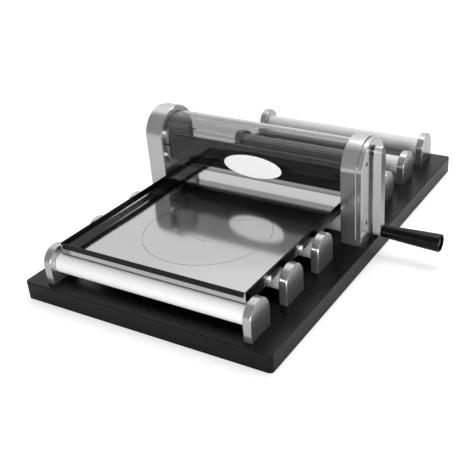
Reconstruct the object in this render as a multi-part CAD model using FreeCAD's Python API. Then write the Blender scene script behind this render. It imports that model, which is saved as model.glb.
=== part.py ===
# Hand-cranked roller press for steel-rule dies.
# Frame: X along the rollers, Y from the feed side to the far side, Z up.
# The origin is the middle of the board's underside. All sizes are in millimetres.
import FreeCAD
import Part
import math
import os

V = FreeCAD.Vector
X_AXIS = V(1, 0, 0)
SIDES = {"left": -1, "right": 1}
TINY = 1e-6

# Board
board_thickness = 38.5
board_corner_radius = 9.0
board_edge_round = 1.6
board_side_margin = 15.4
board_end_margin = 15.6
trough_depth = 7.5
trough_side_gap = 3.0
trough_end_gap = 2.0

# Press rollers
press_roller_radius = 30.2
press_roller_trough_gap = 1.95
press_roller_end_gap = 5.0
press_roller_end_round = 1.0
journal_radius = 12.5
journal_end_gap = 1.0
bush_wall = 4.5
nip_gap = 31.3

# Conveyor rollers, rows counted from the press towards each end
tube_radius = 20.65
tube_wall = 3.0
tube_end_gap = 2.2
axle_radius = 6.0
axle_depth = 9.0
tube_bush_length = 14.0
tube_bush_flange = 1.6
first_row = 159.0
row_pitch = 126.0
rows_each_side = 3
bracket_radius = 32.9
bracket_thickness = 17.0
bracket_crown_rise = 3.7
bracket_edge_round = 1.6

# Tray
tray_width = 418.1
tray_length = 520.0
tray_height = 24.85
tray_overhang = 4.5
tray_bracket_gap = 7.45
tray_frame_gap = 10.25
pan_thickness = 2.0
wall_thickness = 1.0
rail_thickness = 2.0
rail_top = 0.6
rail_edge_round = 0.3
trim_depth = 11.6
notch_slope = 0.27

# Frame plates and covers
plate_thickness = 34.0
cover_thickness = 11.3
cover_inset = 2.5
plate_edge_chamfer = 1.0
case_wall = 3.6
case_web = 15.0
shaft_to_arch_top = 26.5

# Gears between the crank shaft and the upper press roller
gear_module = 2.25
pinion_teeth = 16
gear_teeth = 48
gear_width = 14.0
gear_web_gap = 2.0
gear_bore_radius = 11.0
gear_recess_radius = 38.0
gear_recess_depth = 3.0
pressure_angle = math.radians(20.0)
backlash = 0.3
dedendum = 1.25
pocket_gap = 1.625
key_width = 5.0
key_height = 5.0
pinion_key_width = 4.0
pinion_key_height = 4.0

# Hood
hood_inset = 10.6
hood_wall = 4.0
hood_edge_rise = 11.9
clip_sheet = 1.5
clip_reach = 12.0
clip_skirt = 42.0
clip_turn = 27.0
clip_screw_turn = 18.7
clip_screw_drop = 31.4
clip_screw_land = 0.6
clip_pin_gap = 0.3
hood_pin_radius = 1.7
hood_pin_reach = 13.0
hood_pin_grip = 8.0
hood_pin_drop = 9.9

# Crank
shaft_radius = 8.0
shaft_bush_wall = 4.0
shaft_bush_depth = 12.0
arm_thickness = 17.5
arm_width = 22.4
arm_cover_gap = 4.7
arm_board_gap = 1.2
arm_edge_round = 1.2
spindle_radius = 5.0
spindle_depth = 13.0
spindle_head_radius = 8.5
spindle_head_height = 4.0
grip_length = 128.4
grip_neck_radius = 12.3
grip_middle_radius = 15.9
grip_middle_at = 58.0
grip_end_radius = 18.8
grip_rim_width = 3.7
grip_dish_depth = 8.0
grip_rim_round = 1.5
grip_end_play = 0.4
set_screw_radius = 3.0

# Fasteners: shank radius, head radius, head height
frame_bolt = (4.0, 6.5, 8.0)
bracket_bolt = (3.0, 5.0, 6.0)
cover_screw = (2.5, 4.6, 4.0)
clip_screw = (2.0, 3.6, 6.0)
frame_bolt_grip = 16.0
frame_bolt_offset = 40.0
bracket_bolt_grip = 14.0
bracket_bolt_offset = 18.0
cover_screw_grip = 12.0
cover_screw_offset = 33.0
cover_screw_land = 5.7
cover_screw_lift = 18.2
clip_screw_grip = 8.0
head_recess = 1.0
socket_share = 0.7

# Fits: a running gap between turning pieces, a seat between fixed ones, a gap under the tray
running_gap = 0.05
seat_gap = 0.02
tray_gap = 0.3

# Places along Z, from the board upwards
board_top = board_thickness
trough_z = board_top - trough_depth
lower_z = trough_z + press_roller_trough_gap + press_roller_radius
support_z = lower_z + press_roller_radius
axle_z = support_z - tube_radius
bracket_arc_z = axle_z + bracket_crown_rise
tray_z = support_z + tray_gap
floor_z = tray_z + pan_thickness
rail_z = tray_z + tray_height
upper_z = floor_z + nip_gap + press_roller_radius
crank_z = upper_z + gear_module * (gear_teeth + pinion_teeth) / 2
gear_tip = gear_module * (gear_teeth + 2) / 2
pinion_tip = gear_module * (pinion_teeth + 2) / 2
plate_half = gear_tip + pocket_gap + case_wall
arch_z = crank_z + shaft_to_arch_top - plate_half
cover_half = plate_half - cover_inset
hood_radius = plate_half - hood_inset
hood_low_z = upper_z - press_roller_radius + hood_edge_rise
grip_z = board_top + arm_board_gap + arm_width / 2

# Places along X, from the middle outwards
tray_half = tray_width / 2
bracket_in = tray_half + tray_bracket_gap
bracket_out = bracket_in + bracket_thickness
plate_in = tray_half + tray_frame_gap
plate_out = plate_in + plate_thickness
cover_out = plate_out + cover_thickness
press_half = plate_in - press_roller_end_gap
tube_half = bracket_in - tube_end_gap
axle_half = bracket_in + axle_depth
web_out = plate_in + case_web
gear_in = web_out + gear_web_gap
gear_out = gear_in + gear_width
arm_in = cover_out + arm_cover_gap
arm_out = arm_in + arm_thickness
grip_in = arm_out + grip_end_play
grip_out = grip_in + grip_length

# Places along Y
row_offsets = [first_row + row_pitch * i for i in range(rows_each_side)]
board_half_width = cover_out + board_side_margin
end_reach = row_offsets[-1] + bracket_radius
board_length = 2 * (end_reach + board_end_margin)
press_y = 0.0
trough_half = math.sqrt(press_roller_radius ** 2 - (lower_z - board_top) ** 2) + trough_side_gap
roller_rows = [press_y - d for d in reversed(row_offsets)] + [press_y + d for d in row_offsets]
tray_front = press_y - row_offsets[-1] - tray_overhang
tray_rear = tray_front + tray_length

pieces = {}


def span_x(x0, x1, y0, y1, z0, z1):
    """A box between two corners."""
    return Part.makeBox(abs(x1 - x0), abs(y1 - y0), abs(z1 - z0),
                        V(min(x0, x1), min(y0, y1), min(z0, z1)))


def rod(radius, x0, x1, y, z):
    """A round bar along X."""
    return Part.makeCylinder(radius, abs(x1 - x0), V(min(x0, x1), y, z), X_AXIS)


def sleeve(outer, inner, x0, x1, y, z):
    return rod(outer, x0, x1, y, z).cut(rod(inner, x0, x1, y, z))


def tombstone(half, arc_z, low_z, x0, x1, y):
    """A slab along X whose outline is straight sides under a half circle."""
    left, right, crown = V(x0, y - half, arc_z), V(x0, y + half, arc_z), V(x0, y, arc_z + half)
    foot_left, foot_right = V(x0, y - half, low_z), V(x0, y + half, low_z)
    outline = Part.Wire([
        Part.makeLine(foot_left, left),
        Part.Arc(left, crown, right).toShape(),
        Part.makeLine(right, foot_right),
        Part.makeLine(foot_right, foot_left),
    ])
    return Part.Face(outline).extrude(V(x1 - x0, 0, 0))


def edges_on(shape, x, above_z):
    """The edges that lie in the plane X = x, apart from the one on the board."""
    return [e for e in shape.Edges
            if abs(e.BoundBox.XMin - x) < TINY and abs(e.BoundBox.XMax - x) < TINY
            and e.BoundBox.ZMax > above_z + TINY]


def from_below(bolt, x, y, seat_z, tip_z):
    """A socket-head bolt pointing up, with its head under seat_z."""
    shank_r, head_r, head_h = bolt
    up = V(0, 0, 1)
    head = Part.makeCylinder(head_r, head_h, V(x, y, seat_z - head_h), up)
    socket = Part.makeCylinder(shank_r * socket_share, head_h / 2, V(x, y, seat_z - head_h), up)
    return head.cut(socket).fuse(Part.makeCylinder(shank_r, tip_z - seat_z, V(x, y, seat_z), up))


def hole_below(bolt, x, y, seat_z):
    """The counterbored hole through the board for a bolt from below."""
    shank_r, head_r, _ = bolt
    up = V(0, 0, 1)
    bore = Part.makeCylinder(shank_r + seat_gap, board_top, V(x, y, 0), up)
    return bore.fuse(Part.makeCylinder(head_r + head_recess, seat_z, V(x, y, 0), up))


def side_screw(screw, side, head_x, y, z, grip):
    """A screw along X, its head's inner face at head_x, its shank towards -side."""
    shank_r, head_r, head_h = screw
    head = rod(head_r, head_x, head_x + side * head_h, y, z)
    socket = rod(shank_r * socket_share, head_x + side * head_h / 2, head_x + side * head_h, y, z)
    return head.cut(socket).fuse(rod(shank_r, head_x - side * grip, head_x, y, z))


def ring_point(turn, radius):
    """A point round the arch: turn is degrees up from the feed side's straight skirt."""
    a = math.radians(turn)
    return press_y - radius * math.cos(a), arch_z + radius * math.sin(a)


# Fastener places
frame_bolt_seat = frame_bolt[2] + head_recess
bracket_bolt_seat = bracket_bolt[2] + head_recess
plate_mid = plate_in + plate_thickness / 2
bracket_mid = bracket_in + bracket_thickness / 2
frame_bolts_at = [(s * plate_mid, press_y + d * frame_bolt_offset)
                  for s in (-1, 1) for d in (-1, 1)]
bracket_bolts_at = [(s * bracket_mid, y + d * bracket_bolt_offset)
                    for y in roller_rows for s in (-1, 1) for d in (-1, 1)]
pocket_radius = gear_tip + pocket_gap
screw_reach = pocket_radius + cover_screw_land
cover_screw_high = upper_z + math.sqrt(screw_reach ** 2 - cover_screw_offset ** 2)
cover_screw_low = lower_z + cover_screw_lift
cover_screws_at = [(press_y + d * cover_screw_offset, z)
                   for d in (-1, 1) for z in (cover_screw_low, cover_screw_high)]
clip_screw_radius = plate_half - clip_screw_land - clip_screw[1]
clip_side = "left"
clip_screws_at = [ring_point(clip_screw_turn, clip_screw_radius),
                  (press_y - clip_screw_radius, arch_z - clip_screw_drop)]
hood_pins_at = [(press_y + d * (hood_radius + hood_pin_radius + seat_gap), arch_z - hood_pin_drop)
                for d in (-1, 1)]


def make_board():
    """The board, with a shallow trough that clears the lower press roller."""
    board = span_x(-board_half_width, board_half_width, -board_length / 2, board_length / 2, 0, board_top)
    upright = [e for e in board.Edges if e.BoundBox.ZLength > board_top / 2]
    board = board.makeFillet(board_corner_radius, upright)
    rim = [e for e in board.Edges if e.BoundBox.ZMin > board_top / 2]
    board = board.makeFillet(board_edge_round, rim)
    holes = [hole_below(frame_bolt, x, y, frame_bolt_seat) for x, y in frame_bolts_at]
    holes += [hole_below(bracket_bolt, x, y, bracket_bolt_seat) for x, y in bracket_bolts_at]
    trough_reach = press_half + trough_end_gap
    trough = span_x(-trough_reach, trough_reach, press_y - trough_half, press_y + trough_half, trough_z, board_top)
    return board.cut(holes + [trough])


def make_plate(side):
    """A frame plate; the right one is also the gear case."""
    s = SIDES[side]
    plate = tombstone(plate_half, arch_z, board_top, s * plate_in, s * plate_out, press_y)
    rim = edges_on(plate, s * plate_in, board_top) + edges_on(plate, s * plate_out, board_top)
    plate = plate.makeChamfer(plate_edge_chamfer, rim)
    bush_radius = journal_radius + running_gap + bush_wall + seat_gap
    cuts = [rod(bush_radius, s * plate_in, s * plate_out, press_y, z) for z in (lower_z, upper_z)]
    if side == "right":
        cuts.append(rod(pocket_radius, web_out, plate_out, press_y, upper_z))
        cuts.append(rod(pinion_tip + pocket_gap, web_out, plate_out, press_y, crank_z))
        bush_hole = shaft_radius + running_gap + shaft_bush_wall + seat_gap
        cuts.append(rod(bush_hole, web_out - shaft_bush_depth, web_out, press_y, crank_z))
    shank = frame_bolt[0] + seat_gap
    for x, y in frame_bolts_at:
        if x * s > 0:
            cuts.append(Part.makeCylinder(shank, frame_bolt_grip + head_recess, V(x, y, board_top)))
    for y, z in cover_screws_at:
        cuts.append(rod(cover_screw[0] + seat_gap, s * (plate_out - cover_screw_grip), s * plate_out, y, z))
    for y, z in hood_pins_at:
        cuts.append(rod(hood_pin_radius + seat_gap, s * plate_in, s * (plate_in + hood_pin_grip), y, z))
    if side == clip_side:
        for y, z in clip_screws_at:
            tip = plate_in + clip_screw_grip
            cuts.append(rod(clip_screw[0] + seat_gap, s * plate_in, s * tip, y, z))
    return plate.cut(cuts)


def make_cover(side):
    s = SIDES[side]
    cover = tombstone(cover_half, arch_z, board_top, s * plate_out, s * cover_out, press_y)
    rim = edges_on(cover, s * plate_out, board_top) + edges_on(cover, s * cover_out, board_top)
    cover = cover.makeChamfer(plate_edge_chamfer, rim)
    cuts = []
    for y, z in cover_screws_at:
        cuts.append(rod(cover_screw[0] + seat_gap, s * plate_out, s * cover_out, y, z))
        seat_x = s * (cover_out - cover_screw[2])
        cuts.append(rod(cover_screw[1] + seat_gap, seat_x, s * cover_out, y, z))
    if side == "right":
        bush_hole = shaft_radius + running_gap + shaft_bush_wall + seat_gap
        cuts.append(rod(bush_hole, plate_out, cover_out, press_y, crank_z))
    return cover.cut(cuts)


def make_cover_screws():
    screws = []
    for s in (-1, 1):
        for y, z in cover_screws_at:
            head_x = s * (cover_out - cover_screw[2])
            grip = cover_thickness - cover_screw[2] + cover_screw_grip
            screws.append(side_screw(cover_screw, s, head_x, y, z, grip))
    return Part.makeCompound(screws)


def arch_band(inner, outer, low_z, turn, x0, x1, fore):
    """A curved strip: a straight skirt from low_z, then an arc of the given turn."""
    skirt_out, skirt_in = V(x0, press_y - outer, low_z), V(x0, press_y - inner, low_z)
    start_out, start_in = V(x0, press_y - outer, arch_z), V(x0, press_y - inner, arch_z)
    mid_out, mid_in = V(x0, *ring_point(turn / 2, outer)), V(x0, *ring_point(turn / 2, inner))
    end_out, end_in = V(x0, *ring_point(turn, outer)), V(x0, *ring_point(turn, inner))
    outline = Part.Wire([
        Part.makeLine(skirt_in, skirt_out),
        Part.makeLine(skirt_out, start_out),
        Part.Arc(start_out, mid_out, end_out).toShape(),
        Part.makeLine(end_out, end_in),
        Part.Arc(end_in, mid_in, start_in).toShape(),
        Part.makeLine(start_in, skirt_in),
    ])
    band = Part.Face(outline).extrude(V(x1 - x0, 0, 0))
    if fore < 0:
        band = band.mirror(V(0, press_y, 0), V(0, 1, 0))
    return band


def make_hood():
    """A bent sheet over the press: one half circle between two straight skirts."""
    half_hood = [arch_band(hood_radius - hood_wall, hood_radius, hood_low_z, 90, -plate_in, plate_in, fore)
                 for fore in (1, -1)]
    return half_hood[0].fuse(half_hood[1]).removeSplitter()


def make_hood_clip():
    """An angle strip on the feed side: one leg on the hood, the other on the frame plate, cut for a pin."""
    s = SIDES[clip_side]
    low_z = arch_z - clip_skirt
    on_hood = arch_band(hood_radius, hood_radius + clip_sheet, low_z, clip_turn,
                        s * plate_in, s * (plate_in - clip_reach), 1)
    on_plate = arch_band(hood_radius, plate_half - plate_edge_chamfer, low_z, clip_turn,
                         s * plate_in, s * (plate_in - clip_sheet), 1)
    clip = on_hood.fuse(on_plate).removeSplitter()
    holes = [rod(clip_screw[0] + seat_gap, s * plate_in, s * (plate_in - clip_sheet), y, z)
             for y, z in clip_screws_at]
    pin_y, pin_z = hood_pins_at[0]
    holes.append(rod(hood_pin_radius + clip_pin_gap, s * plate_in, s * (plate_in - clip_reach), pin_y, pin_z))
    return clip.cut(holes)


def make_clip_screws():
    s = SIDES[clip_side]
    head_x = s * (plate_in - clip_sheet)
    grip = clip_sheet + clip_screw_grip
    return Part.makeCompound([side_screw(clip_screw, -s, head_x, y, z, grip) for y, z in clip_screws_at])


def make_hood_pins():
    """The pins in both frame plates that hold the hood from outside."""
    pins = []
    for s in SIDES.values():
        for y, z in hood_pins_at:
            pins.append(rod(hood_pin_radius, s * (plate_in - hood_pin_reach), s * (plate_in + hood_pin_grip), y, z))
    return Part.makeCompound(pins)


def make_press_roller(z, driven):
    """A steel roller with a journal at each end; the driven one carries the gear seat."""
    body = rod(press_roller_radius, -press_half, press_half, press_y, z)
    body = body.makeFillet(press_roller_end_round, [e for e in body.Edges if e.BoundBox.XLength < TINY])
    left_end = -plate_out + journal_end_gap
    right_end = gear_in if driven else plate_out - journal_end_gap
    roller = body.fuse(rod(journal_radius, left_end, right_end, press_y, z))
    if driven:
        roller = roller.fuse(rod(gear_bore_radius, gear_in, gear_out, press_y, z))
        roller = roller.cut(key_box(key_width, key_height, gear_bore_radius, z))
    return roller.removeSplitter()


def key_box(width, height, radius, z):
    """The key between a shaft of this radius and its gear, half in each."""
    low_z = z + radius - height / 2
    low_y = press_y - width / 2
    return span_x(gear_in, gear_out, low_y, low_y + width, low_z, low_z + height)


def involute_gear(teeth, bore, z, tooth_turn):
    """A spur gear along X with true involute flanks; one tooth points along tooth_turn."""
    pitch_r = gear_module * teeth / 2
    base_r = pitch_r * math.cos(pressure_angle)
    tip_r = pitch_r + gear_module
    root_r = pitch_r - dedendum * gear_module
    flank_from = max(base_r, root_r)
    flank_steps = 5

    def involute(angle):
        return math.tan(angle) - angle

    half_tooth = (math.pi * gear_module / 2 - backlash / 2) / (2 * pitch_r)
    radii = [flank_from + (tip_r - flank_from) * i / flank_steps for i in range(flank_steps + 1)]
    flank = [(r, half_tooth + involute(pressure_angle) - involute(math.acos(base_r / r))) for r in radii]
    rising = [(root_r, flank[0][1])] + flank
    points = []
    for tooth in range(teeth):
        centre = tooth_turn + 2 * math.pi * tooth / teeth
        around = [(r, -a) for r, a in rising] + [(r, a) for r, a in reversed(rising)]
        for r, a in around:
            points.append(V(gear_in, press_y + r * math.cos(centre + a), z + r * math.sin(centre + a)))
    outline = Part.makePolygon(points + points[:1])
    blank = Part.Face(outline).extrude(V(gear_width, 0, 0))
    return blank.cut(rod(bore + seat_gap, gear_in, gear_out, press_y, z))


def make_drive_gear():
    half_pitch = math.pi / gear_teeth
    gear = involute_gear(gear_teeth, gear_bore_radius, upper_z, math.pi / 2 + half_pitch)
    hub_radius = journal_radius + key_height
    for x0, x1 in ((gear_in, gear_in + gear_recess_depth), (gear_out - gear_recess_depth, gear_out)):
        gear = gear.cut(sleeve(gear_recess_radius, hub_radius, x0, x1, press_y, upper_z))
    return gear.cut(key_box(key_width, key_height, gear_bore_radius, upper_z))


def make_pinion():
    pinion = involute_gear(pinion_teeth, shaft_radius, crank_z, -math.pi / 2)
    return pinion.cut(key_box(pinion_key_width, pinion_key_height, shaft_radius, crank_z))


def make_crank_shaft():
    shaft = rod(shaft_radius, web_out - shaft_bush_depth, arm_out, press_y, crank_z)
    return shaft.cut(key_box(pinion_key_width, pinion_key_height, shaft_radius, crank_z))


def make_crank_arm():
    half = arm_width / 2
    arm = tombstone(half, crank_z, grip_z, arm_in, arm_out, press_y)
    arm = arm.fuse(rod(half, arm_in, arm_out, press_y, grip_z)).removeSplitter()
    rim = edges_on(arm, arm_in, 0) + edges_on(arm, arm_out, 0)
    arm = arm.makeFillet(arm_edge_round, rim)
    cuts = [
        rod(shaft_radius + seat_gap, arm_in, arm_out, press_y, crank_z),
        rod(spindle_radius + seat_gap, arm_out - spindle_depth, arm_out, press_y, grip_z),
        Part.makeCylinder(set_screw_radius + seat_gap, half, V(arm_mid, press_y, crank_z), V(0, 1, 0)),
    ]
    return arm.cut(cuts)


def make_set_screw():
    start = press_y + shaft_radius + seat_gap
    length = arm_width / 2 - shaft_radius - arm_edge_round
    return Part.makeCylinder(set_screw_radius, length, V(arm_mid, start, crank_z), V(0, 1, 0))


def make_spindle():
    head_in = grip_out - grip_dish_depth + grip_end_play
    spindle = rod(spindle_radius, arm_out - spindle_depth, head_in, press_y, grip_z)
    head = rod(spindle_head_radius, head_in, head_in + spindle_head_height, press_y, grip_z)
    return spindle.fuse(head).removeSplitter()


def make_grip():
    """A hand grip turned about X: it swells from the arm to a rim round a dished end."""
    bore = spindle_radius + running_gap
    dish_radius = grip_end_radius - grip_rim_width
    dish_x = grip_out - grip_dish_depth
    middle_x = grip_in + grip_middle_at
    neck = V(grip_in, press_y, grip_z + grip_neck_radius)
    swell = V(middle_x, press_y, grip_z + grip_middle_radius)
    shoulder = V(grip_out, press_y, grip_z + grip_end_radius)
    rim = V(grip_out, press_y, grip_z + dish_radius)
    floor_out = V(dish_x, press_y, grip_z + dish_radius)
    floor_in = V(dish_x, press_y, grip_z + bore)
    start = V(grip_in, press_y, grip_z + bore)
    outline = Part.Wire([
        Part.makeLine(start, neck),
        Part.Arc(neck, swell, shoulder).toShape(),
        Part.makeLine(shoulder, rim),
        Part.makeLine(rim, floor_out),
        Part.makeLine(floor_out, floor_in),
        Part.makeLine(floor_in, start),
    ])
    grip = Part.Face(outline).revolve(V(0, press_y, grip_z), X_AXIS, 360)
    grip = grip if grip.Volume > 0 else grip.reversed()
    end_rims = [e for e in grip.Edges if e.BoundBox.XMin > grip_out - TINY]
    return grip.makeFillet(grip_rim_round, end_rims)


def make_bracket(side, y):
    s = SIDES[side]
    bracket = tombstone(bracket_radius, bracket_arc_z, board_top, s * bracket_in, s * bracket_out, y)
    rim = edges_on(bracket, s * bracket_in, board_top) + edges_on(bracket, s * bracket_out, board_top)
    bracket = bracket.makeFillet(bracket_edge_round, rim)
    cuts = [rod(axle_radius + seat_gap, s * bracket_in, s * axle_half, y, axle_z)]
    for d in (-1, 1):
        at = V(s * bracket_mid, y + d * bracket_bolt_offset, board_top)
        cuts.append(Part.makeCylinder(bracket_bolt[0] + seat_gap, bracket_bolt_grip + head_recess, at))
    return bracket.cut(cuts)


def make_tube(y):
    return sleeve(tube_radius, tube_radius - tube_wall, -tube_half, tube_half, y, axle_z)


def make_tube_bushes(y):
    """A bush in each end of a tube, its flange flush with the tube, turning on the fixed axle."""
    bushes = []
    for s in (-1, 1):
        mouth = s * tube_half
        inner_end = mouth - s * tube_bush_length
        outer_end = mouth + s * tube_bush_flange
        plug = rod(tube_radius - tube_wall - seat_gap, inner_end, mouth, y, axle_z)
        flange = rod(tube_radius, mouth, outer_end, y, axle_z)
        bore = rod(axle_radius + running_gap, inner_end, outer_end, y, axle_z)
        bushes.append(plug.fuse(flange).removeSplitter().cut(bore))
    return Part.makeCompound(bushes)


def make_pan():
    """A shallow pan: a polished floor with thin walls that stand inside the rails and trims."""
    inset = (rail_thickness - wall_thickness) / 2
    half = tray_half - inset
    front, rear = tray_front + inset, tray_rear - inset
    wall_top = rail_z - rail_top
    pan = span_x(-half, half, front, rear, tray_z, wall_top)
    well_half = half - wall_thickness
    well = span_x(-well_half, well_half, front + wall_thickness, rear - wall_thickness, floor_z, wall_top)
    return pan.cut(well)


def channel(length):
    """A capping strip along X with its outer leg at Y = 0, open below for the pan's wall.

    Its ends lean inwards towards the foot, so that the strips leave a notch at each corner.
    """
    low = rail_z - trim_depth
    strip = span_x(0, length, 0, rail_thickness, low, rail_z)
    crown = [e for e in strip.Edges if e.BoundBox.ZMin > rail_z - TINY and e.BoundBox.XLength > length / 2]
    strip = strip.makeFillet(rail_edge_round, crown)
    leg = (rail_thickness - wall_thickness) / 2 - seat_gap
    slot_top = rail_z - rail_top + seat_gap
    cuts = [span_x(0, length, leg, rail_thickness - leg, low - pan_thickness, slot_top)]
    notch = notch_slope * trim_depth
    for end, inwards in ((0, 1), (length, -1)):
        top, foot, tip = V(end, 0, rail_z), V(end, 0, low), V(end + inwards * notch, 0, low)
        wedge = Part.Face(Part.makePolygon([top, foot, tip, top]))
        cuts.append(wedge.extrude(V(0, rail_thickness, 0)))
    return strip.cut(cuts)


def make_trim(end):
    """The cap on the pan's front or rear wall; the pan's bright wall shows below it."""
    length = tray_width - 2 * rail_thickness - 2 * seat_gap
    trim = channel(length)
    if end == "front":
        trim.translate(V(-length / 2, tray_front, 0))
        return trim
    trim.rotate(V(0, 0, 0), V(0, 0, 1), 180)
    trim.translate(V(length / 2, tray_rear, 0))
    return trim


def make_rail(side):
    """The cap on the pan's side wall; the pan's bright wall shows below it, inside and outside."""
    inset = (rail_thickness + wall_thickness) / 2 + seat_gap
    length = tray_length - 2 * inset
    rail = channel(length)
    if side == "right":
        rail.rotate(V(0, 0, 0), V(0, 0, 1), 90)
        rail.translate(V(tray_half, tray_front + inset, 0))
        return rail
    rail.rotate(V(0, 0, 0), V(0, 0, 1), -90)
    rail.translate(V(-tray_half, tray_rear - inset, 0))
    return rail


arm_mid = arm_in + arm_thickness / 2
press_bush = journal_radius + running_gap
shaft_bush = shaft_radius + running_gap

# Board and end frames
pieces["base_board"] = make_board()
for side in SIDES:
    pieces[side + "_frame_plate"] = make_plate(side)
    pieces[side + "_cover_plate"] = make_cover(side)
pieces["frame_bolts"] = Part.makeCompound([
    from_below(frame_bolt, x, y, frame_bolt_seat, board_top + frame_bolt_grip) for x, y in frame_bolts_at])
pieces["bracket_bolts"] = Part.makeCompound([
    from_below(bracket_bolt, x, y, bracket_bolt_seat, board_top + bracket_bolt_grip)
    for x, y in bracket_bolts_at])
pieces["cover_screws"] = make_cover_screws()

# Hood
pieces["hood"] = make_hood()
pieces["hood_clip"] = make_hood_clip()
pieces["hood_screws"] = make_clip_screws()
pieces["hood_pins"] = make_hood_pins()

# Press rollers, their bushes and the drive
pieces["upper_press_roller"] = make_press_roller(upper_z, True)
pieces["lower_press_roller"] = make_press_roller(lower_z, False)
press_bush_spans = [(-plate_out, -plate_in, upper_z), (plate_in, web_out, upper_z),
                    (-plate_out, -plate_in, lower_z), (plate_in, plate_out, lower_z)]
pieces["press_bushes"] = Part.makeCompound([
    sleeve(press_bush + bush_wall, press_bush, x0, x1, press_y, z) for x0, x1, z in press_bush_spans])
pieces["drive_gear"] = make_drive_gear()
pieces["drive_gear_key"] = key_box(key_width, key_height, gear_bore_radius, upper_z)

# Crank
pieces["crank_bushes"] = Part.makeCompound([
    sleeve(shaft_bush + shaft_bush_wall, shaft_bush, web_out - shaft_bush_depth, web_out, press_y, crank_z),
    sleeve(shaft_bush + shaft_bush_wall, shaft_bush, plate_out, cover_out, press_y, crank_z)])
pieces["crank_shaft"] = make_crank_shaft()
pieces["crank_pinion"] = make_pinion()
pieces["crank_pinion_key"] = key_box(pinion_key_width, pinion_key_height, shaft_radius, crank_z)
pieces["crank_arm"] = make_crank_arm()
pieces["crank_set_screw"] = make_set_screw()
pieces["grip_spindle"] = make_spindle()
pieces["hand_grip"] = make_grip()

# Conveyor rollers, numbered from the feed side
for number, row_y in enumerate(roller_rows, start=1):
    for side in SIDES:
        pieces[f"roller_bracket_{number}_{side}"] = make_bracket(side, row_y)
    pieces[f"roller_axle_{number}"] = rod(axle_radius, -axle_half, axle_half, row_y, axle_z)
    pieces[f"roller_tube_{number}"] = make_tube(row_y)
    pieces[f"roller_bushes_{number}"] = make_tube_bushes(row_y)

# Tray
pieces["tray_pan"] = make_pan()
for side in SIDES:
    pieces["tray_rail_" + side] = make_rail(side)
for end in ("front", "rear"):
    pieces["tray_trim_" + end] = make_trim(end)

os.makedirs("parts", exist_ok=True)
for name, shape in pieces.items():
    shape.exportStep(f"parts/{name}.step")
print(len(pieces), "pieces")
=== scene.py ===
# Looks for a hand-cranked roller die cutting press, built around its CAD frame.
# Metres, +Z up, X along the rollers, Y from the feed side to the far side.
import math

import bpy
from mathutils import Matrix, Vector


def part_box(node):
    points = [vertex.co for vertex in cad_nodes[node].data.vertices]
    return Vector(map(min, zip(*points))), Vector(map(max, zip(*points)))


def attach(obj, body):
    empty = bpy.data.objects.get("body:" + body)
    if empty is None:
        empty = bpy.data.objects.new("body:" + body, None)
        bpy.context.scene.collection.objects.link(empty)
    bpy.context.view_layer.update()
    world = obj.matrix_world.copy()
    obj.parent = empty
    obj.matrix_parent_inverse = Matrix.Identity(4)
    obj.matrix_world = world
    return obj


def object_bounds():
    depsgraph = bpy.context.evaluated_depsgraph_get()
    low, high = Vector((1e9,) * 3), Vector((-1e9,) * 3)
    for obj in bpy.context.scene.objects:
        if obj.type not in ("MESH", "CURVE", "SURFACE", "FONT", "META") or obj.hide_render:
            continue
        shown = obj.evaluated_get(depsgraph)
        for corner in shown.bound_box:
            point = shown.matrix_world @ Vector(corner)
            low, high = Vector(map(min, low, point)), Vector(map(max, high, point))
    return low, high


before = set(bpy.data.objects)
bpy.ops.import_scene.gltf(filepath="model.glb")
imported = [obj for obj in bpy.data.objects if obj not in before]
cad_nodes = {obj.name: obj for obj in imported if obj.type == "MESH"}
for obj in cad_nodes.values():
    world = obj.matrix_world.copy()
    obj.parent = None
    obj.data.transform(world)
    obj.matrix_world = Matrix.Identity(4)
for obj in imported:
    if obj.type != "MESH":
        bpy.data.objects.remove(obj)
cad_low, cad_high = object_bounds()

MM = 0.001

# Camera: its place, the way it looks, its upward side, its lens for a 36 mm wide picture,
# and the shift that frames the machine off the lens's middle
CAMERA_PLACE = Vector((0.8431, -1.3563, 0.8480))
CAMERA_FORWARD = Vector((-0.42250, 0.76023, -0.49350))
CAMERA_UP = Vector((-0.20571, 0.44984, 0.86909))
CAMERA_LENS = 59.75
CAMERA_SENSOR = 36.0
CAMERA_SHIFT = (-0.1316, 0.0168)
CAMERA_NEAR = 0.05
CAMERA_FAR = 100.0

# Studio: a wide pale floor that glows to the camera and a little in mirrors, a white room behind
# and a dimmer one in front, a dark flag behind on the right, and three soft boxes. The flag's
# edges are cosines of the angle to its middle
FLOOR_SIDE = 40.0
FLOOR_DROP = 0.2 * MM
FLOOR_GLOW = 0.5
FLOOR_GLOW_MIRRORED = 0.1
ROOM_FRONT = 0.32
ROOM_REAR = 1.0
ROOM_EDGE_FRONT = -0.15
ROOM_EDGE_REAR = 0.25
FLAG_WAY = (0.43, 0.76, 0.49)
FLAG_LEVEL = 0.3
FLAG_EDGE_OUTER = 0.80
FLAG_EDGE_INNER = 0.92
TOP_BOX_PLACE = Vector((-0.8, 0.9, 2.4))
TOP_BOX_SIDES = (2.6, 2.6)
TOP_BOX_POWER = 4.0
TOP_BOX_AIM = Vector((0.0, 0.0, 0.1))
FRONT_BOX_PLACE = Vector((1.0, -2.9, 0.42))
FRONT_BOX_SIDES = (2.0, 0.8)
FRONT_BOX_POWER = 66.0
FRONT_BOX_AIM = Vector((0.0, 0.0, 0.1))
REAR_BOX_PLACE = Vector((0.2, 0.55, 1.25))
REAR_BOX_SIDES = (0.5, 0.8)
REAR_BOX_POWER = 6.0
REAR_BOX_AIM = Vector((0.1, 0.42, 0.1))

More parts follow.
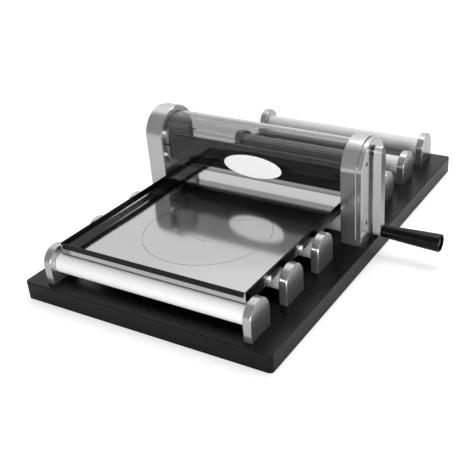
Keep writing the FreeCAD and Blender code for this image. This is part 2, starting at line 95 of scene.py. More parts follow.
# Tray floor: round dies have left rings on it, given in millimetres by middle X, middle Y, radius,
# and the least Y and the most X at which they show; the sheet sags into a shallow wave along Y
SCRATCH_RINGS = ((1.6, -223.5, 131.0, -400.0, 200.0), (-4.6, -215.0, 120.0, -225.0, -30.0),
                 (15.0, -174.4, 83.4, -400.0, 25.0), (4.6, -95.5, 67.0, -400.0, 200.0))
SCRATCH_WIDTH = 1.3 * MM
SAG_MIDDLE = -135.0 * MM
SAG_LENGTH = 300.0 * MM
SAG_HEIGHT = 1.1 * MM

# Tray walls: the middle of the sides' sheet, the top of their outer bend, the thin painted shade at the
# foot of the end walls, and the thin painted highlight along the sides
WALL_MIDDLE = 208.05 * MM
WALL_BEND_TOP = 98.6 * MM
FOOT_SHADE_TOP = 97.0 * MM
FOOT_SHADE_SOFT = 0.8 * MM
HIGHLIGHT_LINE_HEIGHT = 103.5 * MM
HIGHLIGHT_LINE_WIDTH = 2.4 * MM
HIGHLIGHT_FADE_START = -300.0 * MM
HIGHLIGHT_FADE_END = -215.0 * MM
HIGHLIGHT_STOP_START = -152.0 * MM
HIGHLIGHT_STOP_END = -142.0 * MM

# Crank arm: a painted dark reflection on its outer face fades in from one height and is full from another
ARM_REFLECTION_START = 70.0 * MM
ARM_REFLECTION_FULL = 210.0 * MM

# Oval badge on the hood's front: its middle, half sizes, thickness and edge round
BADGE_X = 7.8 * MM
BADGE_Z = 168.5 * MM
BADGE_HALF_WIDTH = 70.8 * MM
BADGE_HALF_HEIGHT = 24.9 * MM
BADGE_THICKNESS = 0.5 * MM
BADGE_EDGE = 0.2 * MM
BADGE_SIDES = 96
BADGE_RINGS = 9
BADGE_RING_STEP = 0.1
BADGE_EDGE_STEPS = 2
BADGE_SMOOTH_ANGLE = 0.7

# Patterns: the sizes at which they are drawn. Strengths and shares are plain fractions, and the
# turn of the tray's scratches is in radians
BRUSH_SPACING = 2.0 * MM
BRUSH_LENGTH = 166.7 * MM
BRUSH_DEPTH = 0.2 * MM
BRUSH_STRENGTH = 0.006
HANDLING_WIDTH = 35.7 * MM
HANDLING_SHARE = 0.4
LAMINATE_GRAIN = 1.54 * MM
LAMINATE_GRAIN_DEPTH = 0.1 * MM
LAMINATE_GRAIN_STRENGTH = 0.02
LAMINATE_CLOUD = 71.4 * MM
SCUFF_WIDTH = 6.25 * MM
SCUFF_LENGTH = 100.0 * MM
TURNED_SPACING = 1.54 * MM
TURNED_LENGTH = 125.0 * MM
DRAW_LINE_SPACING = 2.38 * MM
DRAW_LINE_LENGTH = 667.0 * MM
SCRATCH_SPACING = 2.38 * MM
SCRATCH_LENGTH = 33.3 * MM
SCRATCH_TURN = 0.5
RING_BREAK = 111.0 * MM
RAIL_RUBBING = 16.7 * MM
GRIP_RUBBING = 8.33 * MM
METAL_MOTTLE = 3.33 * MM
BADGE_MOTTLE = 4.55 * MM

# Noise values between which a finish changes, and how far the tray's rings then show
NOISE_LOW = 0.3
NOISE_HIGH = 0.7
DRAW_LINE_LOW = 0.34
DRAW_LINE_HIGH = 0.66
HAZE_LOW = 0.35
HAZE_HIGH = 0.75
RING_BREAK_LOW = 0.42
RING_BREAK_HIGH = 0.54
RING_FAINT = 0.1
RING_STRONG = 0.9

# How far a normal points along an axis before a face counts as facing that way
FACING_START = 0.6
FACING_FULL = 0.9
WALL_FACING_FULL = 0.8

# Roughness, from the finest to the coarsest spots of a finish
LAMINATE_ROUGH = (0.25, 0.32)
PALE_ROUGH = (0.32, 0.38)
SHAFT_ROUGH = (0.2, 0.3)
HOOD_ROUGH = (0.0, 0.06)
TRAY_ROUGH = (0.09, 0.13)
BADGE_ROUGH = (0.32, 0.42)

# Indices of refraction. Those of the hood, the laminate, the rails and the grip are a little below
# the real ones, for a fainter mirror
HOOD_INDEX = 1.34
LAMINATE_INDEX = 1.31
RAIL_INDEX = 1.3
GRIP_INDEX = 1.28
ROLLER_INDEX = 1.5
PALE_INDEX = 1.5
BADGE_INDEX = 1.5

# Sockets of a Mix node that mixes colours
COLOUR_A = 6
COLOUR_B = 7
COLOUR_OUT = 2


def linear(code):
    """An sRGB hex colour as linear red, green, blue and a full alpha."""
    out = []
    for i in (1, 3, 5):
        c = int(code[i:i + 2], 16) / 255
        out.append(c / 12.92 if c <= 0.04045 else ((c + 0.055) / 1.055) ** 2.4)
    return (*out, 1.0)


def add(tree, kind, values=None, links=None, **fields):
    """Adds a node with its fields, its input values and its input links."""
    made = tree.nodes.new(kind)
    for field, value in fields.items():
        setattr(made, field, value)
    for socket, value in (values or {}).items():
        made.inputs[socket].default_value = value
    for socket, source in (links or {}).items():
        tree.links.new(source, made.inputs[socket])
    return made


def spread(from_low, from_high, to_low, to_high):
    """The values of a Map Range node."""
    return {"From Min": from_low, "From Max": from_high, "To Min": to_low, "To Max": to_high}


def start(name, **sockets):
    """A new material: its tree, its Principled shader with constant sockets, and its coordinates."""
    material = bpy.data.materials.new(name)
    material.use_nodes = True
    tree = material.node_tree
    tree.nodes.clear()
    shader = add(tree, "ShaderNodeBsdfPrincipled")
    for socket, value in sockets.items():
        shader.inputs[socket.replace("_", " ")].default_value = value
    add(tree, "ShaderNodeOutputMaterial", links={"Surface": shader.outputs["BSDF"]})
    place = add(tree, "ShaderNodeTexCoord")
    return material, tree, shader, place


def brushed_aluminium(name, dull, bright, fine_rough, coarse_rough, metal, dark_reflection_tone=None):
    """Machined aluminium plate, brushed and clear anodised: a soft sheen, faint brush lines, a pale film.

    Where a dark reflection tone is given, faces across X get that darker tone high up: a painted dark
    reflection.
    """
    material, tree, shader, place = start(name, Metallic=metal)
    # Brush lines are about 0.2 mm apart; they are drawn 2 mm apart so that the render holds them
    along_edge = add(tree, "ShaderNodeMapping",
                     {"Scale": (1 / BRUSH_SPACING, 1 / BRUSH_LENGTH, 1 / BRUSH_LENGTH)},
                     {"Vector": place.outputs["Object"]})
    edge_lines = add(tree, "ShaderNodeTexNoise", {"Scale": 1.0, "Detail": 3.0},
                     {"Vector": along_edge.outputs["Vector"]})
    up_face = add(tree, "ShaderNodeMapping",
                  {"Scale": (1 / BRUSH_LENGTH, 1 / BRUSH_SPACING, 1 / BRUSH_LENGTH)},
                  {"Vector": place.outputs["Object"]})
    face_lines = add(tree, "ShaderNodeTexNoise", {"Scale": 1.0, "Detail": 3.0},
                     {"Vector": up_face.outputs["Vector"]})
    facing = add(tree, "ShaderNodeSeparateXYZ", links={"Vector": place.outputs["Normal"]})
    sideways = add(tree, "ShaderNodeMath", links={0: facing.outputs["X"]}, operation="ABSOLUTE")
    on_face = add(tree, "ShaderNodeMapRange", spread(FACING_START, FACING_FULL, 0.0, 1.0),
                  {"Value": sideways.outputs["Value"]})
    lines = add(tree, "ShaderNodeMix", links={
        "Factor": on_face.outputs["Result"],
        "A": edge_lines.outputs["Fac"],
        "B": face_lines.outputs["Fac"]})
    # Handling leaves faint clouds a few centimetres wide
    clouds = add(tree, "ShaderNodeTexNoise", {"Scale": 1 / HANDLING_WIDTH, "Detail": 3.0},
                 {"Vector": place.outputs["Object"]})
    marks = add(tree, "ShaderNodeMix", {"Factor": HANDLING_SHARE},
                {"A": lines.outputs["Result"], "B": clouds.outputs["Fac"]})
    tone = add(tree, "ShaderNodeMix", {COLOUR_A: linear(dull), COLOUR_B: linear(bright)},
               {"Factor": marks.outputs["Result"]}, data_type="RGBA")
    if dark_reflection_tone:
        # Painted dark reflection: faces across X take the darker tone from one height upward
        along = add(tree, "ShaderNodeSeparateXYZ", links={"Vector": place.outputs["Object"]})
        high = add(tree, "ShaderNodeMapRange", spread(ARM_REFLECTION_START, ARM_REFLECTION_FULL, 0.0, 1.0),
                   {"Value": along.outputs["Z"]}, interpolation_type="SMOOTHSTEP")
        painted_reflection_mask = add(tree, "ShaderNodeMath",
                     links={0: high.outputs["Result"], 1: on_face.outputs["Result"]}, operation="MULTIPLY")
        tone = add(tree, "ShaderNodeMix", {COLOUR_B: linear(dark_reflection_tone)},
                   {"Factor": painted_reflection_mask.outputs["Value"], COLOUR_A: tone.outputs[COLOUR_OUT]},
                   data_type="RGBA")
    tree.links.new(tone.outputs[COLOUR_OUT], shader.inputs["Base Color"])
    gloss = add(tree, "ShaderNodeMapRange", spread(NOISE_LOW, NOISE_HIGH, fine_rough, coarse_rough),
                {"Value": marks.outputs["Result"]})
    tree.links.new(gloss.outputs["Result"], shader.inputs["Roughness"])
    bump = add(tree, "ShaderNodeBump", {"Strength": BRUSH_STRENGTH, "Distance": BRUSH_DEPTH},
               {"Height": lines.outputs["Result"]})
    tree.links.new(bump.outputs["Normal"], shader.inputs["Normal"])
    return material


def black_laminate():
    """Black melamine laminate on fibreboard, pressed on a fine plate: satin, faintly uneven."""
    material, tree, shader, place = start("black_laminate", IOR=LAMINATE_INDEX)
    # The press plate's grain is about 0.3 mm; it is drawn 1.5 mm wide
    grain = add(tree, "ShaderNodeTexNoise", {"Scale": 1 / LAMINATE_GRAIN, "Detail": 2.0},
                {"Vector": place.outputs["Object"]})
    clouds = add(tree, "ShaderNodeTexNoise", {"Scale": 1 / LAMINATE_CLOUD, "Detail": 4.0},
                 {"Vector": place.outputs["Object"]})
    tone = add(tree, "ShaderNodeMix", {COLOUR_A: linear("#030303"), COLOUR_B: linear("#080808")},
               {"Factor": clouds.outputs["Fac"]}, data_type="RGBA")
    tree.links.new(tone.outputs[COLOUR_OUT], shader.inputs["Base Color"])
    gloss = add(tree, "ShaderNodeMapRange", spread(NOISE_LOW, NOISE_HIGH, *LAMINATE_ROUGH),
                {"Value": clouds.outputs["Fac"]})
    tree.links.new(gloss.outputs["Result"], shader.inputs["Roughness"])
    bump = add(tree, "ShaderNodeBump",
               {"Strength": LAMINATE_GRAIN_STRENGTH, "Distance": LAMINATE_GRAIN_DEPTH},
               {"Height": grain.outputs["Fac"]})
    tree.links.new(bump.outputs["Normal"], shader.inputs["Normal"])
    return material


def pale_coat(name):
    """Smooth pale plastic, extruded or moulded: near white with a broad soft sheen and faint scuffs."""
    material, tree, shader, place = start(name, IOR=PALE_INDEX)
    # Sheets rubbing past leave scuffs round the tube, a few millimetres wide
    round_tube = add(tree, "ShaderNodeMapping",
                     {"Scale": (1 / SCUFF_WIDTH, 1 / SCUFF_LENGTH, 1 / SCUFF_LENGTH)},
                     {"Vector": place.outputs["Object"]})
    scuffs = add(tree, "ShaderNodeTexNoise", {"Scale": 1.0, "Detail": 4.0},
                 {"Vector": round_tube.outputs["Vector"]})
    tone = add(tree, "ShaderNodeMix", {COLOUR_A: linear("#e2e2e2"), COLOUR_B: linear("#e9e9e9")},
               {"Factor": scuffs.outputs["Fac"]}, data_type="RGBA")
    tree.links.new(tone.outputs[COLOUR_OUT], shader.inputs["Base Color"])
    gloss = add(tree, "ShaderNodeMapRange", spread(NOISE_LOW, NOISE_HIGH, *PALE_ROUGH),
                {"Value": scuffs.outputs["Fac"]})
    tree.links.new(gloss.outputs["Result"], shader.inputs["Roughness"])
    return material


def shaft_steel():
    """Shaft steel, turned and ground: dark grey, with fine even rings round the X axis."""
    material, tree, shader, place = start("shaft_steel", Metallic=1.0)
    # The tool's rings are under 0.1 mm; they are drawn 1.5 mm apart
    rings = add(tree, "ShaderNodeMapping",
                {"Scale": (1 / TURNED_SPACING, 1 / TURNED_LENGTH, 1 / TURNED_LENGTH)},
                {"Vector": place.outputs["Object"]})
    turned = add(tree, "ShaderNodeTexNoise", {"Scale": 1.0, "Detail": 3.0},
                 {"Vector": rings.outputs["Vector"]})
    tone = add(tree, "ShaderNodeMix", {COLOUR_A: linear("#5c5c5c"), COLOUR_B: linear("#6e6e6e")},
               {"Factor": turned.outputs["Fac"]}, data_type="RGBA")
    tree.links.new(tone.outputs[COLOUR_OUT], shader.inputs["Base Color"])
    gloss = add(tree, "ShaderNodeMapRange", spread(NOISE_LOW, NOISE_HIGH, *SHAFT_ROUGH),
                {"Value": turned.outputs["Fac"]})
    tree.links.new(gloss.outputs["Result"], shader.inputs["Roughness"])
    return material


def smoked_sheet():
    """Smoked acrylic sheet, bent over a former: dark clear, glossy, with wiping marks along it whose tint
    is partly painted reflection.
    """
    material, tree, shader, place = start("smoked_acrylic", IOR=HOOD_INDEX, Transmission_Weight=1.0)
    # Draw lines run along the hood where the former has rubbed it: thin, a few millimetres apart; their
    # light and dark tint is partly painted reflection
    along = add(tree, "ShaderNodeMapping",
                {"Scale": (1 / DRAW_LINE_LENGTH, 1 / DRAW_LINE_SPACING, 1 / DRAW_LINE_SPACING)},
                {"Vector": place.outputs["Object"]})
    wiping_and_reflection = add(tree, "ShaderNodeTexNoise", {"Scale": 1.0, "Detail": 2.0},
                 {"Vector": along.outputs["Vector"]})
    line = add(tree, "ShaderNodeMapRange", spread(DRAW_LINE_LOW, DRAW_LINE_HIGH, 0.0, 1.0),
               {"Value": wiping_and_reflection.outputs["Fac"]})
    tone = add(tree, "ShaderNodeMix", {COLOUR_A: linear("#a4a4a4"), COLOUR_B: linear("#d6d6d6")},
               {"Factor": line.outputs["Result"]}, data_type="RGBA")
    tree.links.new(tone.outputs[COLOUR_OUT], shader.inputs["Base Color"])
    gloss = add(tree, "ShaderNodeMapRange", spread(HAZE_LOW, HAZE_HIGH, *HOOD_ROUGH),
                {"Value": wiping_and_reflection.outputs["Fac"]})
    tree.links.new(gloss.outputs["Result"], shader.inputs["Roughness"])
    # Lamps shine through the sheet, dimmed at each of its two faces
    rays = add(tree, "ShaderNodeLightPath")
    lamp_light = add(tree, "ShaderNodeBsdfTransparent", {"Color": linear("#e3e3e3")})
    both = add(tree, "ShaderNodeMixShader", links={
        0: rays.outputs["Is Shadow Ray"], 1: shader.outputs["BSDF"], 2: lamp_light.outputs["BSDF"]})
    output = next(n for n in tree.nodes if n.type == "OUTPUT_MATERIAL")
    tree.links.new(both.outputs["Shader"], output.inputs["Surface"])
    return material


def mirror_tray():
    """Stainless steel sheet, mirror polished: bright, a little wavy, scratched and ringed by dies."""
    material, tree, shader, place = start("polished_stainless_sheet")
    # The polish's scratches are well under 0.1 mm; they are drawn over 2 mm apart
    scratch_way = add(tree, "ShaderNodeMapping",
                      {"Scale": (1 / SCRATCH_SPACING, 1 / SCRATCH_LENGTH, 1 / SCRATCH_LENGTH),
                       "Rotation": (0, 0, SCRATCH_TURN)},
                      {"Vector": place.outputs["Object"]})
    scratches = add(tree, "ShaderNodeTexNoise", {"Scale": 1.0, "Detail": 5.0},
                    {"Vector": scratch_way.outputs["Vector"]})
    tone = add(tree, "ShaderNodeMix", {COLOUR_A: linear("#bdbdbd"), COLOUR_B: linear("#c5c5c5")},
               {"Factor": scratches.outputs["Fac"]}, data_type="RGBA")
    # Each ring is a thin dark line, broken where the die's edge did not bite
    flat = add(tree, "ShaderNodeMapping", {"Scale": (1.0, 1.0, 0.0)}, {"Vector": place.outputs["Object"]})
    breaks = add(tree, "ShaderNodeTexNoise", {"Scale": 1 / RING_BREAK, "Detail": 1.0},
                 {"Vector": place.outputs["Object"]})
    bite = add(tree, "ShaderNodeMapRange",
               spread(RING_BREAK_LOW, RING_BREAK_HIGH, RING_FAINT, RING_STRONG),
               {"Value": breaks.outputs["Fac"]})
    along = add(tree, "ShaderNodeSeparateXYZ", links={"Vector": place.outputs["Object"]})
    mark = None
    for middle_x, middle_y, radius, least_y, most_x in SCRATCH_RINGS:
        away = add(tree, "ShaderNodeVectorMath", {1: (middle_x * MM, middle_y * MM, 0.0)},
                   {0: flat.outputs["Vector"]}, operation="DISTANCE")
        line = add(tree, "ShaderNodeMath", {1: radius * MM, 2: SCRATCH_WIDTH / 2},
                   {0: away.outputs["Value"]}, operation="COMPARE")
        past_y = add(tree, "ShaderNodeMath", {1: least_y * MM}, {0: along.outputs["Y"]},
                     operation="GREATER_THAN")
        line = add(tree, "ShaderNodeMath", links={0: line.outputs["Value"], 1: past_y.outputs["Value"]},
                   operation="MULTIPLY")
        short_of_x = add(tree, "ShaderNodeMath", {1: most_x * MM}, {0: along.outputs["X"]},
                         operation="LESS_THAN")
        line = add(tree, "ShaderNodeMath", links={0: line.outputs["Value"], 1: short_of_x.outputs["Value"]},
                   operation="MULTIPLY")
        if mark is None:
            mark = line
        else:
            mark = add(tree, "ShaderNodeMath", links={0: mark.outputs["Value"], 1: line.outputs["Value"]},
                       operation="MAXIMUM")
    rings = add(tree, "ShaderNodeMath", links={0: mark.outputs["Value"], 1: bite.outputs["Result"]},
                operation="MULTIPLY")
    tone = add(tree, "ShaderNodeMix", {COLOUR_B: linear("#5e5e5e")},
               {"Factor": rings.outputs["Value"], COLOUR_A: tone.outputs[COLOUR_OUT]}, data_type="RGBA")
    # The upturned sides get a darker tone than the floor, all but the outer bend at the foot
    facing = add(tree, "ShaderNodeSeparateXYZ", links={"Vector": place.outputs["Normal"]})
    sideways = add(tree, "ShaderNodeMath", links={0: facing.outputs["X"]}, operation="ABSOLUTE")
    side = add(tree, "ShaderNodeMapRange", spread(FACING_START, WALL_FACING_FULL, 0.0, 1.0),
               {"Value": sideways.outputs["Value"]})
    out_from_middle = add(tree, "ShaderNodeMath", links={0: along.outputs["X"]}, operation="ABSOLUTE")
    inside = add(tree, "ShaderNodeMath", {1: WALL_MIDDLE}, {0: out_from_middle.outputs["Value"]},
                 operation="LESS_THAN")
    above_bend = add(tree, "ShaderNodeMath", {1: WALL_BEND_TOP}, {0: along.outputs["Z"]},
                     operation="GREATER_THAN")
    darkened_walls = add(tree, "ShaderNodeMath", links={0: inside.outputs["Value"], 1: above_bend.outputs["Value"]},
                 operation="MAXIMUM")
    darkened_side = add(tree, "ShaderNodeMath", links={0: side.outputs["Result"], 1: darkened_walls.outputs["Value"]},
                    operation="MULTIPLY")
    tone = add(tree, "ShaderNodeMix", {COLOUR_B: linear("#8c8c8c")},
               {"Factor": darkened_side.outputs["Value"], COLOUR_A: tone.outputs[COLOUR_OUT]}, data_type="RGBA")
    # A thin painted shade line lies at the bend at the foot of the front and rear walls
    endways = add(tree, "ShaderNodeMath", links={0: facing.outputs["Y"]}, operation="ABSOLUTE")
    end = add(tree, "ShaderNodeMapRange", spread(FACING_START, WALL_FACING_FULL, 0.0, 1.0),
              {"Value": endways.outputs["Value"]})
    foot = add(tree, "ShaderNodeMapRange", spread(FOOT_SHADE_TOP, FOOT_SHADE_TOP + FOOT_SHADE_SOFT, 1.0, 0.0),
               {"Value": along.outputs["Z"]})
    painted_foot_shade = add(tree, "ShaderNodeMath", links={0: end.outputs["Result"], 1: foot.outputs["Result"]},
                    operation="MULTIPLY")
    tone = add(tree, "ShaderNodeMix", {COLOUR_B: linear("#6a6a6a")},
               {"Factor": painted_foot_shade.outputs["Value"], COLOUR_A: tone.outputs[COLOUR_OUT]}, data_type="RGBA")
    # A thin painted highlight runs along each side's inner face, pale and not metallic
    height = add(tree, "ShaderNodeMath", {1: HIGHLIGHT_LINE_HEIGHT, 2: HIGHLIGHT_LINE_WIDTH / 2}, {0: along.outputs["Z"]},
                 operation="COMPARE")
    highlight_start = add(tree, "ShaderNodeMapRange", spread(HIGHLIGHT_FADE_START, HIGHLIGHT_FADE_END, 0.0, 1.0),
                    {"Value": along.outputs["Y"]})
    highlight_end = add(tree, "ShaderNodeMapRange", spread(HIGHLIGHT_STOP_START, HIGHLIGHT_STOP_END, 1.0, 0.0),
                  {"Value": along.outputs["Y"]})
    painted_highlight_line = add(tree, "ShaderNodeMath", links={0: highlight_start.outputs["Result"], 1: highlight_end.outputs["Result"]},
              operation="MULTIPLY")
    painted_highlight_line = add(tree, "ShaderNodeMath", links={0: painted_highlight_line.outputs["Value"], 1: height.outputs["Value"]},
              operation="MULTIPLY")
    painted_highlight_line = add(tree, "ShaderNodeMath", links={0: painted_highlight_line.outputs["Value"], 1: inside.outputs["Value"]},
              operation="MULTIPLY")
    tone = add(tree, "ShaderNodeMix", {COLOUR_B: linear("#f2f2f2")},
               {"Factor": painted_highlight_line.outputs["Value"], COLOUR_A: tone.outputs[COLOUR_OUT]}, data_type="RGBA")
    tree.links.new(tone.outputs[COLOUR_OUT], shader.inputs["Base Color"])
    highlight_metallic = add(tree, "ShaderNodeMapRange", spread(0.0, 1.0, 1.0, 0.0), {"Value": painted_highlight_line.outputs["Value"]})
    tree.links.new(highlight_metallic.outputs["Result"], shader.inputs["Metallic"])
    gloss = add(tree, "ShaderNodeMapRange", spread(NOISE_LOW, NOISE_HIGH, *TRAY_ROUGH),
                {"Value": scratches.outputs["Fac"]})
    tree.links.new(gloss.outputs["Result"], shader.inputs["Roughness"])
    # The sag: a wave along Y, lowest at its middle
    turn = add(tree, "ShaderNodeMapRange", spread(SAG_MIDDLE, SAG_MIDDLE + SAG_LENGTH, 0.0, 2 * math.pi),
               {"Value": along.outputs["Y"]}, clamp=False)
    wave = add(tree, "ShaderNodeMath", links={0: turn.outputs["Result"]}, operation="COSINE")
    sag = add(tree, "ShaderNodeBump", {"Strength": 1.0, "Distance": SAG_HEIGHT},
              {"Height": wave.outputs["Value"]}, invert=True)
    tree.links.new(sag.outputs["Normal"], shader.inputs["Normal"])
    return material


def gloss_black(name, dark, light, fine_rough, coarse_rough, rubbing_size, index):
    """Black moulded or coated surface: a clear gloss, with rubbing of a given size along X, Y and Z."""
    material, tree, shader, place = start(name, IOR=index)
    # Rubbed spots shine a little less than the rest
    stretch = add(tree, "ShaderNodeMapping", {"Scale": [1 / size for size in rubbing_size]},
                  {"Vector": place.outputs["Object"]})
    rubbing = add(tree, "ShaderNodeTexNoise", {"Scale": 1.0, "Detail": 4.0},
                  {"Vector": stretch.outputs["Vector"]})
    tone = add(tree, "ShaderNodeMix", {COLOUR_A: linear(dark), COLOUR_B: linear(light)},
               {"Factor": rubbing.outputs["Fac"]}, data_type="RGBA")
    tree.links.new(tone.outputs[COLOUR_OUT], shader.inputs["Base Color"])
    gloss = add(tree, "ShaderNodeMapRange", spread(NOISE_LOW, NOISE_HIGH, fine_rough, coarse_rough),
                {"Value": rubbing.outputs["Fac"]})
    tree.links.new(gloss.outputs["Result"], shader.inputs["Roughness"])
    return material


def plain_metal(name, dull, bright, fine_rough, coarse_rough, metal=1.0):
    """Small metal pieces, even and slightly mottled; metal is below 1 where a near-white base is a painted
    highlight.
    """
    material, tree, shader, place = start(name, Metallic=metal)
    # The finish's grain is about 0.1 mm; it is drawn over 3 mm wide
    mottle = add(tree, "ShaderNodeTexNoise", {"Scale": 1 / METAL_MOTTLE, "Detail": 3.0},
                 {"Vector": place.outputs["Object"]})
    tone = add(tree, "ShaderNodeMix", {COLOUR_A: linear(dull), COLOUR_B: linear(bright)},
               {"Factor": mottle.outputs["Fac"]}, data_type="RGBA")
    tree.links.new(tone.outputs[COLOUR_OUT], shader.inputs["Base Color"])
    gloss = add(tree, "ShaderNodeMapRange", spread(NOISE_LOW, NOISE_HIGH, fine_rough, coarse_rough),
                {"Value": mottle.outputs["Fac"]})
    tree.links.new(gloss.outputs["Result"], shader.inputs["Roughness"])
    return material


def badge_vinyl():
    """White vinyl badge: soft gloss with the faintest mottle."""
    material, tree, shader, place = start("white_vinyl", IOR=BADGE_INDEX)
    # The vinyl's grain is about 0.1 mm; it is drawn over 4 mm wide
    mottle = add(tree, "ShaderNodeTexNoise", {"Scale": 1 / BADGE_MOTTLE, "Detail": 3.0},
                 {"Vector": place.outputs["Object"]})
    tone = add(tree, "ShaderNodeMix", {COLOUR_A: linear("#f2f2f2"), COLOUR_B: linear("#fafafa")},
               {"Factor": mottle.outputs["Fac"]}, data_type="RGBA")
    tree.links.new(tone.outputs[COLOUR_OUT], shader.inputs["Base Color"])
    gloss = add(tree, "ShaderNodeMapRange", spread(NOISE_LOW, NOISE_HIGH, *BADGE_ROUGH),
                {"Value": mottle.outputs["Fac"]})
    tree.links.new(gloss.outputs["Result"], shader.inputs["Roughness"])
    return material


def dress(material, *names):
    """Gives CAD nodes one material."""
    for name in names:
        mesh = cad_nodes[name].data
        mesh.materials.clear()
        mesh.materials.append(material)


def only(piece):
    """Deselects everything, then selects one piece and makes it active."""
    bpy.ops.object.select_all(action="DESELECT")
    piece.select_set(True)
    bpy.context.view_layer.objects.active = piece


def oval_badge():
    """A blank oval badge that follows the hood's front, from its flat wall up on to its round."""
    bpy.ops.object.select_all(action="DESELECT")
    bpy.ops.mesh.primitive_circle_add(vertices=BADGE_SIDES, radius=1.0, fill_type="NGON")
    badge = bpy.context.object
    badge.name = "oval_badge"
    bpy.ops.object.mode_set(mode="EDIT")
    bpy.ops.mesh.select_all(action="SELECT")
    for _ in range(BADGE_RINGS):
        bpy.ops.mesh.inset(thickness=BADGE_RING_STEP, depth=0.0)
    bpy.ops.mesh.poke()
    bpy.ops.object.mode_set(mode="OBJECT")
    # The oval stands in front of the hood, then it is pressed on to it
    low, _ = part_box("hood")
    badge.matrix_world = (Matrix.Translation((BADGE_X, low.y - BADGE_HALF_HEIGHT, BADGE_Z))
                          @ Matrix.Rotation(math.pi / 2, 4, "X")
                          @ Matrix.Diagonal((BADGE_HALF_WIDTH, BADGE_HALF_HEIGHT, 1.0, 1.0)))
    only(badge)
    bpy.ops.object.transform_apply(location=True, rotation=True, scale=True)
    press = badge.modifiers.new("press_on", "SHRINKWRAP")
    press.target = cad_nodes["hood"]
    press.wrap_method = "PROJECT"
    press.use_project_x = False
    press.use_project_y = True
    press.use_project_z = False
    press.use_negative_direction = False
    press.use_positive_direction = True
    bpy.ops.object.modifier_apply(modifier=press.name)
    wall = badge.modifiers.new("wall", "SOLIDIFY")
    wall.thickness = BADGE_THICKNESS
    wall.offset = 1.0
    bpy.ops.object.modifier_apply(modifier=wall.name)
    edge = badge.modifiers.new("edge", "BEVEL")
    edge.width = BADGE_EDGE
    edge.segments = BADGE_EDGE_STEPS
    edge.limit_method = "ANGLE"
    bpy.ops.object.modifier_apply(modifier=edge.name)
    bpy.ops.object.shade_smooth_by_angle(angle=BADGE_SMOOTH_ANGLE)
    badge.data.materials.append(badge_vinyl())
    return badge


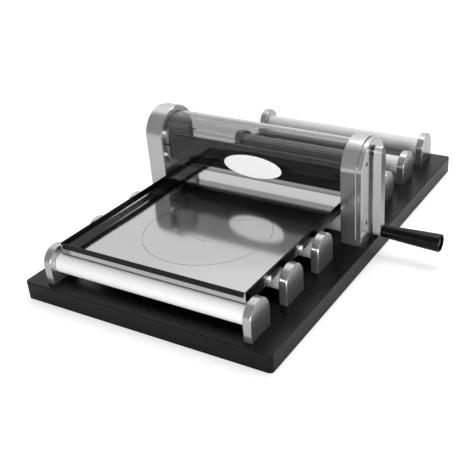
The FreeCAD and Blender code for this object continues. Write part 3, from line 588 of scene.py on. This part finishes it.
def studio():
    """A pale floor that keeps the shadow, a room round it, three soft boxes and the camera."""
    bpy.ops.object.select_all(action="DESELECT")
    bpy.ops.mesh.primitive_plane_add(size=FLOOR_SIDE, location=(0, 0, cad_low.z - FLOOR_DROP))
    floor = bpy.context.object
    floor.name = "studio_floor"
    material = bpy.data.materials.new("pale_paper")
    material.use_nodes = True
    tree = material.node_tree
    tree.nodes.clear()
    rays = add(tree, "ShaderNodeLightPath")
    seen = add(tree, "ShaderNodeMath", links={
        0: rays.outputs["Is Camera Ray"], 1: rays.outputs["Is Transmission Ray"]}, operation="MAXIMUM")
    level = add(tree, "ShaderNodeMath", {1: FLOOR_GLOW}, {0: seen.outputs["Value"]},
                operation="MULTIPLY")
    level = add(tree, "ShaderNodeMath", {1: FLOOR_GLOW_MIRRORED},
                {0: rays.outputs["Is Glossy Ray"], 2: level.outputs["Value"]}, operation="MULTIPLY_ADD")
    paper = add(tree, "ShaderNodeBsdfDiffuse", {"Color": linear("#ececec")})
    glow = add(tree, "ShaderNodeEmission", links={"Strength": level.outputs["Value"]})
    both = add(tree, "ShaderNodeAddShader", links={
        0: paper.outputs["BSDF"], 1: glow.outputs["Emission"]})
    add(tree, "ShaderNodeOutputMaterial", links={"Surface": both.outputs["Shader"]})
    floor.data.materials.append(material)

    world = bpy.data.worlds.new("studio_world")
    bpy.context.scene.world = world
    world.use_nodes = True
    tree = world.node_tree
    tree.nodes.clear()
    rays = add(tree, "ShaderNodeLightPath")
    seen = add(tree, "ShaderNodeMath", links={
        0: rays.outputs["Is Camera Ray"], 1: rays.outputs["Is Transmission Ray"]}, operation="MAXIMUM")
    place = add(tree, "ShaderNodeTexCoord")
    way = add(tree, "ShaderNodeSeparateXYZ", links={"Vector": place.outputs["Generated"]})
    depth = add(tree, "ShaderNodeMapRange", spread(ROOM_EDGE_FRONT, ROOM_EDGE_REAR, ROOM_FRONT, ROOM_REAR),
                {"Value": way.outputs["Y"]}, interpolation_type="SMOOTHSTEP")
    near_flag = add(tree, "ShaderNodeVectorMath", {1: FLAG_WAY}, {0: place.outputs["Generated"]},
                    operation="DOT_PRODUCT")
    flag = add(tree, "ShaderNodeMapRange", spread(FLAG_EDGE_OUTER, FLAG_EDGE_INNER, 1.0, FLAG_LEVEL),
               {"Value": near_flag.outputs["Value"]}, interpolation_type="SMOOTHSTEP")
    level = add(tree, "ShaderNodeMath", links={0: depth.outputs["Result"], 1: flag.outputs["Result"]},
                operation="MULTIPLY")
    room = add(tree, "ShaderNodeBackground", {"Color": linear("#ffffff")},
               {"Strength": level.outputs["Value"]})
    backdrop = add(tree, "ShaderNodeBackground", {"Color": linear("#ffffff"), "Strength": 1.0})
    both = add(tree, "ShaderNodeMixShader", links={
        0: seen.outputs["Value"], 1: room.outputs["Background"],
        2: backdrop.outputs["Background"]})
    add(tree, "ShaderNodeOutputWorld", links={"Surface": both.outputs["Shader"]})

    boxes = (("top_box", TOP_BOX_PLACE, TOP_BOX_SIDES, TOP_BOX_POWER, TOP_BOX_AIM),
             ("front_box", FRONT_BOX_PLACE, FRONT_BOX_SIDES, FRONT_BOX_POWER, FRONT_BOX_AIM),
             ("rear_box", REAR_BOX_PLACE, REAR_BOX_SIDES, REAR_BOX_POWER, REAR_BOX_AIM))
    for name, place, sides, power, aim in boxes:
        lamp = bpy.data.lights.new(name, "AREA")
        lamp.shape = "RECTANGLE"
        lamp.size, lamp.size_y = sides
        lamp.energy = power
        holder = bpy.data.objects.new(name, lamp)
        bpy.context.scene.collection.objects.link(holder)
        holder.matrix_world = (Matrix.Translation(place)
                               @ (aim - place).to_track_quat("-Z", "Y").to_matrix().to_4x4())

    right = CAMERA_FORWARD.cross(CAMERA_UP).normalized()
    up = right.cross(CAMERA_FORWARD).normalized()
    turn = Matrix((right, up, -CAMERA_FORWARD.normalized())).transposed().to_4x4()
    camera = bpy.data.objects.new("camera", bpy.data.cameras.new("camera"))
    bpy.context.scene.collection.objects.link(camera)
    camera.matrix_world = Matrix.Translation(CAMERA_PLACE) @ turn
    camera.data.sensor_width = CAMERA_SENSOR
    camera.data.lens = CAMERA_LENS
    camera.data.shift_x, camera.data.shift_y = CAMERA_SHIFT
    camera.data.clip_start = CAMERA_NEAR
    camera.data.clip_end = CAMERA_FAR
    bpy.context.scene.camera = camera
    bpy.context.scene.view_settings.view_transform = "Standard"


rows = range(1, 7)
brackets = [f"roller_bracket_{i}_{side}" for i in rows for side in ("left", "right")]

dress(black_laminate(), "base_board")
# Aluminium plate, brushed and anodised: pale, with a soft even sheen
dress(brushed_aluminium("brushed_aluminium", dull="#c2c2c2", bright="#cfcfcf",
                        fine_rough=0.17, coarse_rough=0.23, metal=0.9),
      "left_frame_plate", "right_frame_plate", "left_cover_plate", "right_cover_plate")
# Aluminium bar, machined and satin finished: a shade darker and softer than the plates
dress(brushed_aluminium("satin_aluminium", dull="#b6b6b6", bright="#c6c6c6",
                        fine_rough=0.20, coarse_rough=0.26, metal=0.88),
      *brackets)
# Aluminium bar, blasted with beads: nearly matt, with a painted dark reflection high on its outer face
dress(brushed_aluminium("blasted_aluminium", dull="#bababa", bright="#c8c8c8",
                        fine_rough=0.42, coarse_rough=0.50, metal=0.75, dark_reflection_tone="#5a5a5a"),
      "crank_arm")
# Extruded tube, a coated steel roller and moulded bushes: one pale, smooth surface
dress(pale_coat("pale_plastic_tube"), *[f"roller_tube_{i}" for i in rows])
dress(pale_coat("pale_roller_coat"), "lower_press_roller")
dress(pale_coat("pale_nylon"), *[f"roller_bushes_{i}" for i in rows])
# Steel, turned, blackened and oiled: near black with a clear shine
dress(gloss_black("blackened_steel", dark="#0a0a0a", light="#101010",
                  fine_rough=0.08, coarse_rough=0.13,
                  rubbing_size=(TURNED_SPACING, TURNED_LENGTH, TURNED_LENGTH), index=ROLLER_INDEX),
      "upper_press_roller")
dress(shaft_steel(), "crank_shaft", *[f"roller_axle_{i}" for i in rows])
dress(smoked_sheet(), "hood")
dress(mirror_tray(), "tray_pan")
# Extruded strip with a black coat: deep black and glossy
dress(gloss_black("black_coated_extrusion", dark="#030303", light="#060606",
                  fine_rough=0.12, coarse_rough=0.17,
                  rubbing_size=(RAIL_RUBBING, RAIL_RUBBING, RAIL_RUBBING), index=RAIL_INDEX),
      "tray_rail_left", "tray_rail_right", "tray_trim_front", "tray_trim_rear")
# Moulded black plastic: deep black with a broad, soft shine
dress(gloss_black("black_moulded_grip", dark="#030303", light="#060606",
                  fine_rough=0.26, coarse_rough=0.34,
                  rubbing_size=(GRIP_RUBBING, GRIP_RUBBING, GRIP_RUBBING), index=GRIP_INDEX),
      "hand_grip")
# Zinc plate painted near white, a painted highlight for the glint on a domed head: very pale, almost
# without a mirror
dress(plain_metal("zinc_painted_highlight", dull="#f4f4f4", bright="#fcfcfc",
                  fine_rough=0.34, coarse_rough=0.42, metal=0.3),
      "hood_screws")
# Nickel plate gone dull: mid grey with a soft mirror
dress(plain_metal("dull_nickel", dull="#8e8e8e", bright="#a0a0a0", fine_rough=0.30, coarse_rough=0.38),
      "hood_clip")
# Steel with black oxide: near black and almost matt
dress(plain_metal("black_oxide", dull="#1c1c1c", bright="#2a2a2a", fine_rough=0.35, coarse_rough=0.45),
      "cover_screws", "hood_pins", "frame_bolts", "bracket_bolts", "crank_set_screw",
      "drive_gear_key", "crank_pinion_key", "grip_spindle")
# Cut and oiled gear steel: grey with a soft shine
dress(plain_metal("gear_steel", dull="#8c8c8c", bright="#a4a4a4", fine_rough=0.28, coarse_rough=0.38),
      "drive_gear", "crank_pinion")
# Sintered iron, soaked in oil: dull grey
dress(plain_metal("sintered_iron", dull="#747474", bright="#868686", fine_rough=0.35, coarse_rough=0.45),
      "press_bushes", "crank_bushes")

badge = oval_badge()
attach(badge, "base")

studio()
